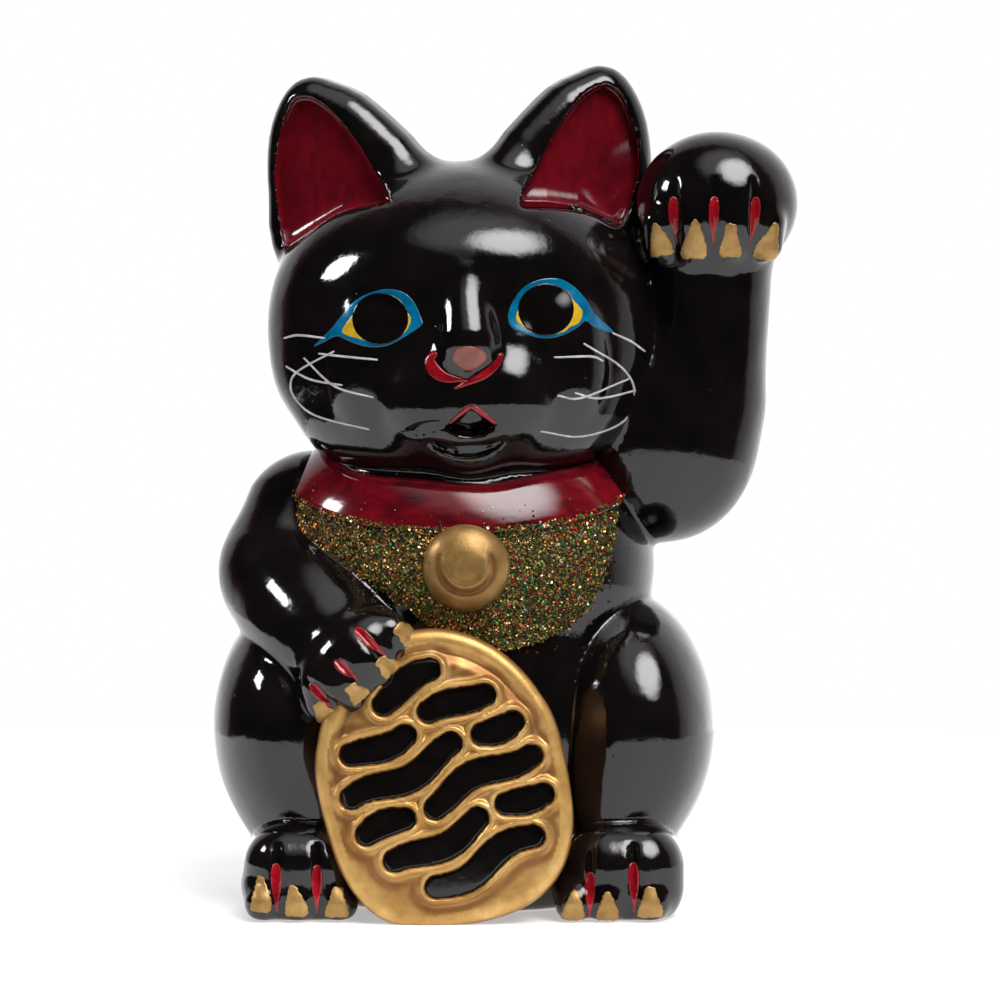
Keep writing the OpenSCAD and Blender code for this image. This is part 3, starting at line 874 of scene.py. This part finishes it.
NOSE = [(-3.5, -5.7), (-2.8, -4), (-0.8, -3), (1.5, -3), (3.9, -4), (5.1, -5.8), (4.3, -7.2), (2.2, -8.6),
        (0.5, -9.2), (-1.5, -8.3), (-2.9, -7.2)]
NOSTRILS = [[(-8, -4.8, 0.8), (-9, -6, 1.2), (-8.6, -8, 1.6), (-6.6, -10, 1.5), (-3.8, -11, 1.0),
             (-1, -11.4, 0.5)],
            [(8.6, -5.7, 0.7), (7.2, -8, 1.0), (4, -10.4, 1.1), (0.6, -11.8, 0.9), (-3.2, -13.4, 0.3)]]
MOUTH = [(-4.4, -21.9, 0.5), (-2, -20, 0.65), (0.6, -18.3, 0.7), (3.6, -20.2, 0.65), (6.4, -22.3, 0.5)]


def strokes_mask(strokes, where=on_head):
    runs = [spline(s, steps=5) for s in strokes]
    return lambda p: nearest(stroke_field, where(p), runs)


def strokes_reach(strokes):
    return head_reach([(x, z) for s in strokes for x, z, _ in s], 2.5)


def make_nose_and_mouth():
    run = spline(NOSE, closed=True, steps=5)
    paint("nostril_marks", head, strokes_mask(NOSTRILS), strokes_reach(NOSTRILS),
          "red_paint", MARK_RED, 0.6, edge=0.9)
    paint("nose_pad", head, lambda p: outline_field(on_head(p), run), head_reach(NOSE),
          "nose_pink", PINK, 0.7, edge=0.5)
    paint("mouth_mark", head, strokes_mask([MOUTH]), strokes_reach([MOUTH]), "red_paint", MARK_RED, 0.16)


WHISKERS = {
    "right": [[(-45.8, -0.4), (-42, 0.4), (-35.3, -0.3)],
              [(-36.9, -4.2), (-30, -4.9), (-22.3, -5.8)],
              [(-45.6, -7.6), (-39.3, -10.8), (-31.4, -12)],
              [(-40.8, -5.4), (-33.5, -12.2), (-23.7, -15.2)],
              [(-33.1, -3.6), (-42.3, -8.5), (-44.7, -12.1), (-43.5, -16), (-38.5, -20), (-25.1, -23.3)]],
    "left": [[(36.9, -1.9), (41.4, -4.3), (45, -7.2)],
             [(21.9, -6.9), (31, -7.2), (34, -8.6)],
             [(22.4, -16.5), (28, -17.5), (40.5, -13.8)],
             [(26.8, -16.1), (33, -18), (43.3, -16.8)],
             [(29.4, -3.9), (38.8, -10.7), (42, -17.3), (39.1, -24.5), (28, -27.4), (17.9, -25.3)]]}


def hair_stroke(strand):
    """Rows of x, z and half width: a fine line, a little wider in its middle."""
    share = 0.2 + 0.6 * np.arange(len(strand)) / (len(strand) - 1)
    return [(x, z, w) for (x, z), w in zip(strand, 0.16 + 0.13 * np.sin(math.pi * share))]


def make_whiskers():
    for end, strands in WHISKERS.items():
        strokes = [hair_stroke(strand) for strand in strands]
        paint("whiskers_" + end, head, strokes_mask(strokes), strokes_reach(strokes),
              "whisker_white", WHITE, 0.12, voxel=0.2, edge=0.1, depth=0.5)


def make_ear_linings():
    for side, end in ((LEFT, "left"), (RIGHT, "right")):
        def mask(p):
            h = to_head(p)
            behind_rim = EAR_FRONT + 0.5 - ear_local(h, side)[..., 1]
            return soft_max(from_ear_cup(h, side) - 0.2, behind_rim, 0.3)
        reach = head_reach([(side * x, z) for x, z in EAR_CUPS[side]], 3)
        paint("ear_lining_" + end, head, mask, reach, "red_paint", LINING_RED, 0.14,
              voxel=FINE * 1.4, depth=1.0)


# ---------------- toes

def claw_outline(x, z, width, length, turn, lean, top):
    """Points x, z of a blunt flame: flat below, its top leaning to one side and top wide."""
    shape = [(lean + top, 0.42), (lean, 0.5), (lean - top, 0.45), (lean / 2 - 0.3, 0.14), (-0.47, -0.22),
             (-0.44, -0.48), (0, -0.5), (0.45, -0.47), (0.48, -0.2), (lean / 2 + 0.3, 0.16)]
    a = math.radians(turn)
    c, s = math.cos(a), math.sin(a)
    return [(x + c * u * width - s * v * length, z + s * u * width + c * v * length) for u, v in shape]


def toe_stroke(top, bottom, half=1.3, bend=0.0):
    """Rows of x, z and half width: flat and wide at the top, drawn out to a thin tail."""
    (x0, z0), (x1, z1) = top, bottom
    rows = []
    for share, width in ((0, 0.75), (0.15, 1), (0.45, 0.92), (0.75, 0.45), (1, 0.2)):
        sway = bend * math.sin(math.pi * share)
        rows.append((x0 + (x1 - x0) * share + sway, z0 + (z1 - z0) * share, half * width))
    return rows


def ragged(q):
    """The uneven edge that a loaded brush leaves."""
    return 0.16 * (np.sin(2.3 * q[..., 0] + 1.7 * q[..., 1]) * np.sin(1.1 * q[..., 0] - 2.9 * q[..., 1]))


def outlines_mask(outlines):
    runs = [spline(o, closed=True, steps=4) for o in outlines]

    def mask(p):
        q = in_front(p)
        return nearest(outline_field, q, runs) + ragged(q)
    return mask


# Toes as seen from the front: red marks from top to bottom, and claws as claw_outline takes them
PAWS = {
    "raised_paw": {
        "marks": [toe_stroke((52.6, 178.6), (53.6, 167.8), bend=-0.3),
                  toe_stroke((62.7, 178.8), (62.5, 167.6)),
                  toe_stroke((73.2, 178.6), (71.8, 168), bend=0.3)],
        "claws": [(49.4, 168.8, 6.0, 8.6, 8, -0.12, 0.12), (57.8, 168.9, 6.6, 10, 0, 0.05, 0.12),
                  (66.9, 168.6, 5.8, 8.6, 0, 0, 0.26), (76.3, 168.4, 6.4, 9.8, -8, 0.22, 0.12)]},
    "resting_paw": {
        "marks": [toe_stroke((-26.2, 73), (-19.6, 66.9), 1.35),
                  toe_stroke((-31.2, 65.1), (-26.2, 61.1), 1.35),
                  toe_stroke((-37.4, 59), (-32.8, 54), 1.35)],
        "claws": [(-14.6, 72.3, 5.6, 5.6, 50, 0, 0.3), (-19.2, 64.3, 5.4, 5.2, 45, 0, 0.3),
                  (-26.7, 57.7, 5.4, 5.2, 42, 0, 0.3), (-35, 52.8, 5.6, 5, 30, 0, 0.3)]},
    "left_foot": {
        "marks": [toe_stroke((31.3, 11.6), (31.2, 1.4)), toe_stroke((42, 14), (42.3, 2.8))],
        "claws": [(27, 4.4, 6, 7.8, 0, 0.1, 0.12), (35.6, 4.2, 5.8, 7.4, 0, 0, 0.16),
                  (46.2, 5.2, 6.4, 7.8, 0, 0, 0.2)]},
    "right_foot": {
        "marks": [toe_stroke((-46.7, 13.8), (-46.5, 3)), toe_stroke((-36.5, 13.4), (-36.6, 2.6))],
        "claws": [(-50.2, 7.2, 5.4, 8.8, -4, -0.1, 0.15), (-41.6, 5.6, 6, 8, 0, -0.15, 0.15),
                  (-31.6, 5.2, 6, 7.6, 0, 0.05, 0.22)]}}


PAW_FORMS = {
    "raised_paw": lambda p: soft_min(raised_arm(p), raised_paw(p), 6),
    "resting_paw": lambda p: soft_min(resting_arm(p), resting_paw(p), 5),
    "left_foot": lambda p: foot(p, LEFT),
    "right_foot": lambda p: foot(p, RIGHT)}


def make_toes():
    for place, toes in PAWS.items():
        form = PAW_FORMS[place]
        marks = toes["marks"]
        reach = reach_of([m for stroke in marks for m in stroke], 2.5)
        paint("toe_marks_" + place, form, strokes_mask(marks, in_front), reach,
              "red_paint", MARK_RED, 0.14)
        outlines = [claw_outline(*claw) for claw in toes["claws"]]
        reach = reach_of([c for outline in outlines for c in outline])
        claws = paint("claws_" + place, form, outlines_mask(outlines), reach,
                      "gold_paint", CLAW_GOLD, 0.24, edge=0.3)
        # The 'hollow' value that browns the gold, set evenly: every claw is a little browner all over.
        vertex_value(claws, "hollow", np.full(len(claws.data.vertices), 0.15))


# ---------------- collar, bib and bell

MARGIN = 1.5  # room left round a CAD piece's box for its finished form
COLLAR_FRONT = (0, -35, 102)
COLLAR_TURN = turn_about("x", 16)
COLLAR_HALF = 5.0
BELL_CENTRE = (0.5, -38.7, 87.5)
BELL_R = 10.9


def collar_across(p):
    """Height above the collar's middle plane, which rises towards the nape."""
    return ((p - vec(*COLLAR_FRONT)) @ COLLAR_TURN)[..., 2]


def make_collar():
    def field(p):
        surface = trunk(p)
        across = collar_across(p)
        wave = 0.35 * np.sin(0.21 * p[..., 0] + 0.6)
        d = soft_max(surface - 1.6, np.abs(across + wave) - COLLAR_HALF, 2.4)
        return np.maximum(d, -surface - 1.5)
    piece_of(field, (-56, -46, 93), (54, 50, 134), 0.6,
             "collar_band", "collar", "red_paint", COLLAR_RED)


# The bib's outline; its upper part lies under the collar
BIB = [(-46, 103), (-44.5, 97), (-38, 92.6), (-31, 88.5), (-24, 83.8), (-18, 80), (-12, 75.6),
       (-6, 71.8), (2, 67.9), (10, 66.9), (18, 68), (26.6, 72), (31.6, 77), (34.8, 82.5), (37.8, 92),
       (40, 106), (0, 108)]


def lumps(p, size):
    """Uneven values between -1 and 1."""
    x, z = p[..., 0] / size, p[..., 2] / size
    broad = np.sin(x * 2.1 + 1.3 * np.sin(z * 1.7)) * np.sin(z * 2.4 + 0.8 * x)
    narrow = np.sin(x * 5.3 - z * 3.1) * np.sin(z * 6.1 + x * 2.2)
    return (broad + narrow * 0.5) / 1.5


def bib_mask(p):
    edge = outline_field(in_front(p), BIB) + 0.5 * lumps(p, 1.6)
    return soft_max(edge, collar_across(p) + COLLAR_HALF - 0.8, 0.5)


def make_bib():
    points, quads = coat_on(lambda p: trunk(p) - 0.12 * lumps(p, 0.9), bib_mask, 0.6,
                            reach_of(BIB), 0.42, edge=0.6, depth=0.8)
    stands_for(new_mesh("bib_coat", points, quads), "bib", "glitter_coat", GLITTER)


FLAKE_COUNT = 9500
FLAKE_RADII = (0.16, 0.36)
STRAY_SHARE = 0.035  # share of the flakes strewn just past the bib's edge


def make_flakes():
    """Flakes lying at all angles on the bib, thick in its middle and strewn past its edge."""
    draws = np.random.default_rng(7)
    tries = FLAKE_COUNT * 4
    x, z = [draws.uniform(*limits, tries) for limits in reach_of(BIB, 3)]
    p = front_of(lambda p: np.minimum(trunk(p) - 0.6, 9), x, z)
    edge = bib_mask(p)
    chance = np.where(edge < 0.2, 1.0, STRAY_SHARE * np.exp(-np.maximum(edge, 0) / 2.2))
    clear_of_bell = np.hypot(p[:, 0] - BELL_CENTRE[0], p[:, 2] - BELL_CENTRE[2]) > BELL_R - 0.6
    kept = (draws.uniform(size=len(p)) < chance) & (p[:, 1] < 20) & clear_of_bell
    p = p[kept][:FLAKE_COUNT]
    surface = np.where(collar_across(p) > -COLLAR_HALF - 0.3, 1.2, 0.05)
    n = gradient(trunk, p)
    p = p + n * (surface + draws.uniform(0, 0.16, len(p)))[:, None]
    axis = n + draws.normal(0, 0.42, (len(p), 3))
    axis /= np.linalg.norm(axis, axis=1, keepdims=True)
    side = np.cross(axis, draws.normal(size=(len(p), 3)))
    side /= np.linalg.norm(side, axis=1, keepdims=True)
    other = np.cross(axis, side)
    radius = draws.uniform(*FLAKE_RADII, len(p))[:, None]
    rings = [p + radius * (math.cos(a) * side + math.sin(a) * other) for a in turns(6)]
    points = np.stack(rings + [p - axis * 0.22], 1).reshape(-1, 3)
    faces = []
    for k in range(0, len(points), 7):
        faces.append([k, k + 1, k + 2, k + 3, k + 4, k + 5])
        faces.extend([k + (j + 1) % 6, k + j, k + 6] for j in range(6))
    stands_for(new_mesh("bib_flakes", points, faces, smooth=False), None, "glitter_coat", FLAKES)


def bell_height(x, z):
    """How far the bell's face stands forward: a convex rim round a disc with a crescent ridge."""
    r = np.hypot(x, z)
    inner = np.hypot(x, z - 0.9)
    low = 0.5 - 0.5 * np.clip(((z - 0.9) / np.maximum(inner, 1e-3) - 0.1) / 0.5, -1, 1)
    dome = 5.4 * (1 - (r / 11.4) ** 2.6)
    ridge = 0.5 * np.exp(-((inner - 5.2) / 0.9) ** 2) - 0.62 * np.exp(-((inner - 6.9) / 0.75) ** 2)
    return dome + low * ridge


# Painted shade: how far the bell's gold is browned in the lower part of its crescent groove.
def bell_groove_shade(x, z):
    inner = np.hypot(x, z - 0.9)
    return np.clip(np.exp(-((inner - 7.0) / 0.7) ** 2) * (z < 4), 0, 1)


def make_bell():
    def field(p):
        q = p - vec(*BELL_CENTRE)
        x, z = q[..., 0], q[..., 2]
        around = np.hypot(x, z) - (BELL_R + 0.12 * np.sin(3 * np.arctan2(z, x) + 1))
        return np.maximum(soft_max(around, -q[..., 1] - bell_height(x, z), 2.6), q[..., 1] - 4)
    low, high = cad_box("bell")
    bell, points = piece_of(field, low - MARGIN, high + vec(MARGIN, 2 * MARGIN, MARGIN),
                            0.33, "bell_disc", "bell", "gold_paint", BELL_GOLD)
    q = points - vec(*BELL_CENTRE)
    # Painted shade in the bell's groove, kept in the vertex value 'hollow'.
    vertex_value(bell, "hollow", bell_groove_shade(q[:, 0], q[:, 2]))


# ---------------- koban

KOBAN_CENTRE = (-5.5, -45.5, 36)
KOBAN_TURN = turn_about("x", -5) @ turn_about("y", -12.5)
KOBAN_HALF = (31, 37.2)
KOBAN_FRONT = 6.0  # from its middle plane to the highest part of its face
# Each row of the ripple pattern: its height, and where its marks start and end
RIPPLE_ROWS = [(24, [(-4, 10)]), (14.5, [(-17, -3), (5, 19)]), (5, [(-22, 6), (14, 22)]),
               (-4.5, [(-23, -13), (-5, 22)]), (-14, [(-20, 3), (11, 20)]), (-23.5, [(-14, 13)])]
RIPPLE_HALF, RIPPLE_SWELL, RIPPLE_WAVE, RIPPLE_TILT = 3.4, 1.5, 26.0, 16.0


def ripple_runs():
    """Brush strokes of the koban's generic wave pattern: rows of x, z and half width."""
    a = math.radians(RIPPLE_TILT)
    c, s = math.cos(a), math.sin(a)
    runs = []
    for height, spans in RIPPLE_ROWS:
        for start, end in spans:
            x = np.linspace(start, end, max(5, int((end - start) / 2.2)))
            z = height + RIPPLE_SWELL * np.sin(2 * math.pi * x / RIPPLE_WAVE)
            swell = np.sin(math.pi * np.linspace(0.12, 0.88, len(x)))
            half = RIPPLE_HALF * (0.72 + 0.3 * swell)
            runs.append(np.stack([x * c - z * s, x * s + z * c, half], -1).astype(f32))
    return runs


RIPPLES = ripple_runs()


def koban_local(p):
    return (p - vec(*KOBAN_CENTRE)) @ KOBAN_TURN


def from_marks(q):
    """Distance from the koban's sunk marks, negative inside one."""
    return nearest(stroke_field, in_front(q), RIPPLES)


def koban_radius(q):
    """Share of the way to the edge of the koban's oval, which is squarer below than above."""
    u, v = np.abs(q[..., 0]) / KOBAN_HALF[0], np.abs(q[..., 2]) / KOBAN_HALF[1]
    power = 2.4 - 0.4 * np.clip(q[..., 2] / 15, -1, 1)
    return (u ** power + v ** power) ** (1 / power)


def koban_face(q):
    """Height of the koban's plain face: a broad border, a shallow ring and a flat middle."""
    r = koban_radius(q)
    upper = np.clip(0.75 + q[..., 2] / KOBAN_HALF[1], 0.35, 1.4)
    return -0.8 * r ** 2 - 0.9 * upper * np.exp(-((r - 0.84) / 0.045) ** 2)


def rib(away):
    """The raised gold lip that runs along each mark."""
    return 1.25 * np.exp(-((away - 0.95) / 0.75) ** 2)


def koban_edge(q):
    k = np.maximum(koban_radius(q), 1e-3)
    return np.hypot(q[..., 0], q[..., 2]) * (1 - 1 / k)


def koban_field(p):
    q = koban_local(p)
    away = from_marks(q)
    sunk = 1.5 * np.clip(0.5 - away / 0.7, 0, 1)
    front = -q[..., 1] - (KOBAN_FRONT - 0.2 + koban_face(q) + rib(away) - sunk)
    d = soft_max(koban_edge(q), front, 5.0)
    d = np.maximum(d, q[..., 1] - 12)
    d = np.maximum(d, -chest(p) - 3)
    return soft_max(d, -p[..., 2], 1.0)


def make_koban():
    low, high = cad_box("koban")
    plate, points = piece_of(koban_field, low - MARGIN, high + MARGIN, 0.5,
                             "koban_plate", "koban", "gold_paint", GOLD)
    # Painted shade, kept in the vertex value 'hollow': browner gold in the valleys between the marks, in
    # the shallow ring, along the marks' sunk edges and over the plate's sides and back.
    q = koban_local(points)
    away = from_marks(q)
    between = np.exp(-((away - 3.2) / 1.3) ** 2) * (koban_radius(q) < 0.9)
    ring = np.exp(-((koban_radius(q) - 0.8) / 0.05) ** 2)
    behind = np.clip((q[:, 1] + KOBAN_FRONT - 1.5) / 2, 0, 1)
    wear_and_shade = 0.85 * between + 0.5 * ring + (np.abs(away) < 0.3) + behind
    vertex_value(plate, "hollow", np.clip(wear_and_shade, 0, 1))

    def marks(p):
        q = koban_local(p)
        top = -q[..., 1] - (KOBAN_FRONT - 0.75 + koban_face(q))
        d = soft_max(from_marks(q) - 0.12, top, 0.6)
        return np.maximum(d, q[..., 1] + KOBAN_FRONT - 3.2)
    low, high = cad_box("koban_marks")
    piece_of(marks, low - MARGIN, high + MARGIN, 0.4,
             "koban_black_marks", "koban_marks", "mark_black", INK)


make_eyes()
make_nose_and_mouth()
make_whiskers()
make_ear_linings()
make_toes()
make_collar()
make_bib()
make_flakes()
make_bell()
make_koban()


# ---------------- studio

FLOOR_RADIUS = 0.40  # metres
LENS, SENSOR = 197.0, 36  # millimetres


def make_floor():
    """A white table that glows enough to merge with the backdrop, and still takes a faint shadow."""
    s = Shader("floor_white", Roughness=0.6, Emission_Color=(1, 1, 1, 1), Emission_Strength=0.42)
    shade = s.ramp(s.noise(400, 2), (0.3, srgb(198, 198, 199)), (0.7, srgb(204, 204, 204)))
    radius = FLOOR_RADIUS / MM
    corners = [(radius * math.cos(a), radius * math.sin(a), 0.0) for a in turns(64)]
    floor = new_mesh("floor", corners, [range(len(corners))], smooth=False)
    floor.data.materials.append(s.finish(Base_Color=shade))


def area_light(name, place, aim, size, power, colour=(1, 1, 1)):
    data = bpy.data.lights.new(name, "AREA")
    data.shape = "RECTANGLE"
    data.size, data.size_y = size
    data.energy = power
    data.color = colour
    light = bpy.data.objects.new(name, data)
    light.location = place
    light.rotation_euler = (Vector(aim) - Vector(place)).to_track_quat("-Z", "Y").to_euler()
    bpy.context.scene.collection.objects.link(light)


# Soft lights in the world: direction, cosines where the glow starts and is full, strength
GLOWS = [((0.36, -0.48, 0.80), 0.90, 0.985, 6.0),
         ((0.1, -0.35, 0.93), 0.80, 0.97, 0.6)]
BACKDROP_AXIS = (0.33, 0.944, 0)  # the backdrop reaches further round on the cat's left
# Light of the surroundings, from in front of the figure (0) to behind it (1)
BACKDROP = [(0.56, (0.006, 0.005, 0.005, 1)), (0.63, (0.05, 0.018, 0.02, 1)),
            (0.67, (0.26, 0.24, 0.25, 1)), (0.80, (0.5, 0.5, 0.51, 1)), (1.0, (1, 1, 1, 1))]


def make_world():
    """A white studio: bright behind and beside the figure, dark on the side it is seen from."""
    world = bpy.data.worlds.new("studio")
    bpy.context.scene.world = world
    world.use_nodes = True
    world.node_tree.nodes.clear()
    w = Nodes(world.node_tree)
    place = w.add("TexCoord").outputs["Generated"]
    behind = w.vector("DOT_PRODUCT", place, BACKDROP_AXIS).outputs["Value"]
    depth = w.add("MapRange", {"From Min": -1, "Value": behind}).outputs[0]
    light = w.ramp(depth, *BACKDROP)
    for direction, low, high, strength in GLOWS:
        towards = w.vector("DOT_PRODUCT", place, Vector(direction).normalized()).outputs["Value"]
        glow = w.add("MapRange", {"Value": towards, "From Min": low, "From Max": high, "To Max": strength},
                     interpolation_type="SMOOTHSTEP").outputs[0]
        light = w.vector("ADD", light, glow).outputs[0]
    studio = w.add("Background", {"Color": light, "Strength": 1.8}).outputs[0]
    plain = w.add("Background", {"Color": (1, 1, 1, 1)}).outputs[0]
    seen = w.add("LightPath").outputs["Is Camera Ray"]
    either = w.add("MixShader", {0: seen, 1: studio, 2: plain}).outputs[0]
    w.add("OutputWorld", {"Surface": either})


def make_camera():
    """A long lens four degrees above the table, aimed at the figure's middle."""
    distance, rise, target = 1400 * MM, math.radians(4), Vector((0, 0, 106 * MM))
    data = bpy.data.cameras.new("camera")
    data.sensor_width = SENSOR
    data.lens = LENS
    data.shift_x, data.shift_y = 0.036, -0.0168
    data.clip_start, data.clip_end = 0.05, 20
    back = Vector((0, -math.cos(rise), math.sin(rise)))
    camera = bpy.data.objects.new("camera", data)
    camera.location = target + back * distance
    camera.rotation_euler = (-back).to_track_quat("-Z", "Y").to_euler()
    bpy.context.scene.collection.objects.link(camera)
    bpy.context.scene.camera = camera


make_floor()
make_world()
area_light("softbox", (-0.87, -0.10, 0.61), (0, 0, 0.12), (0.24, 0.18), 4.2, (0.92, 0.96, 1))
make_camera()
bpy.context.scene.view_settings.view_transform = "Standard"
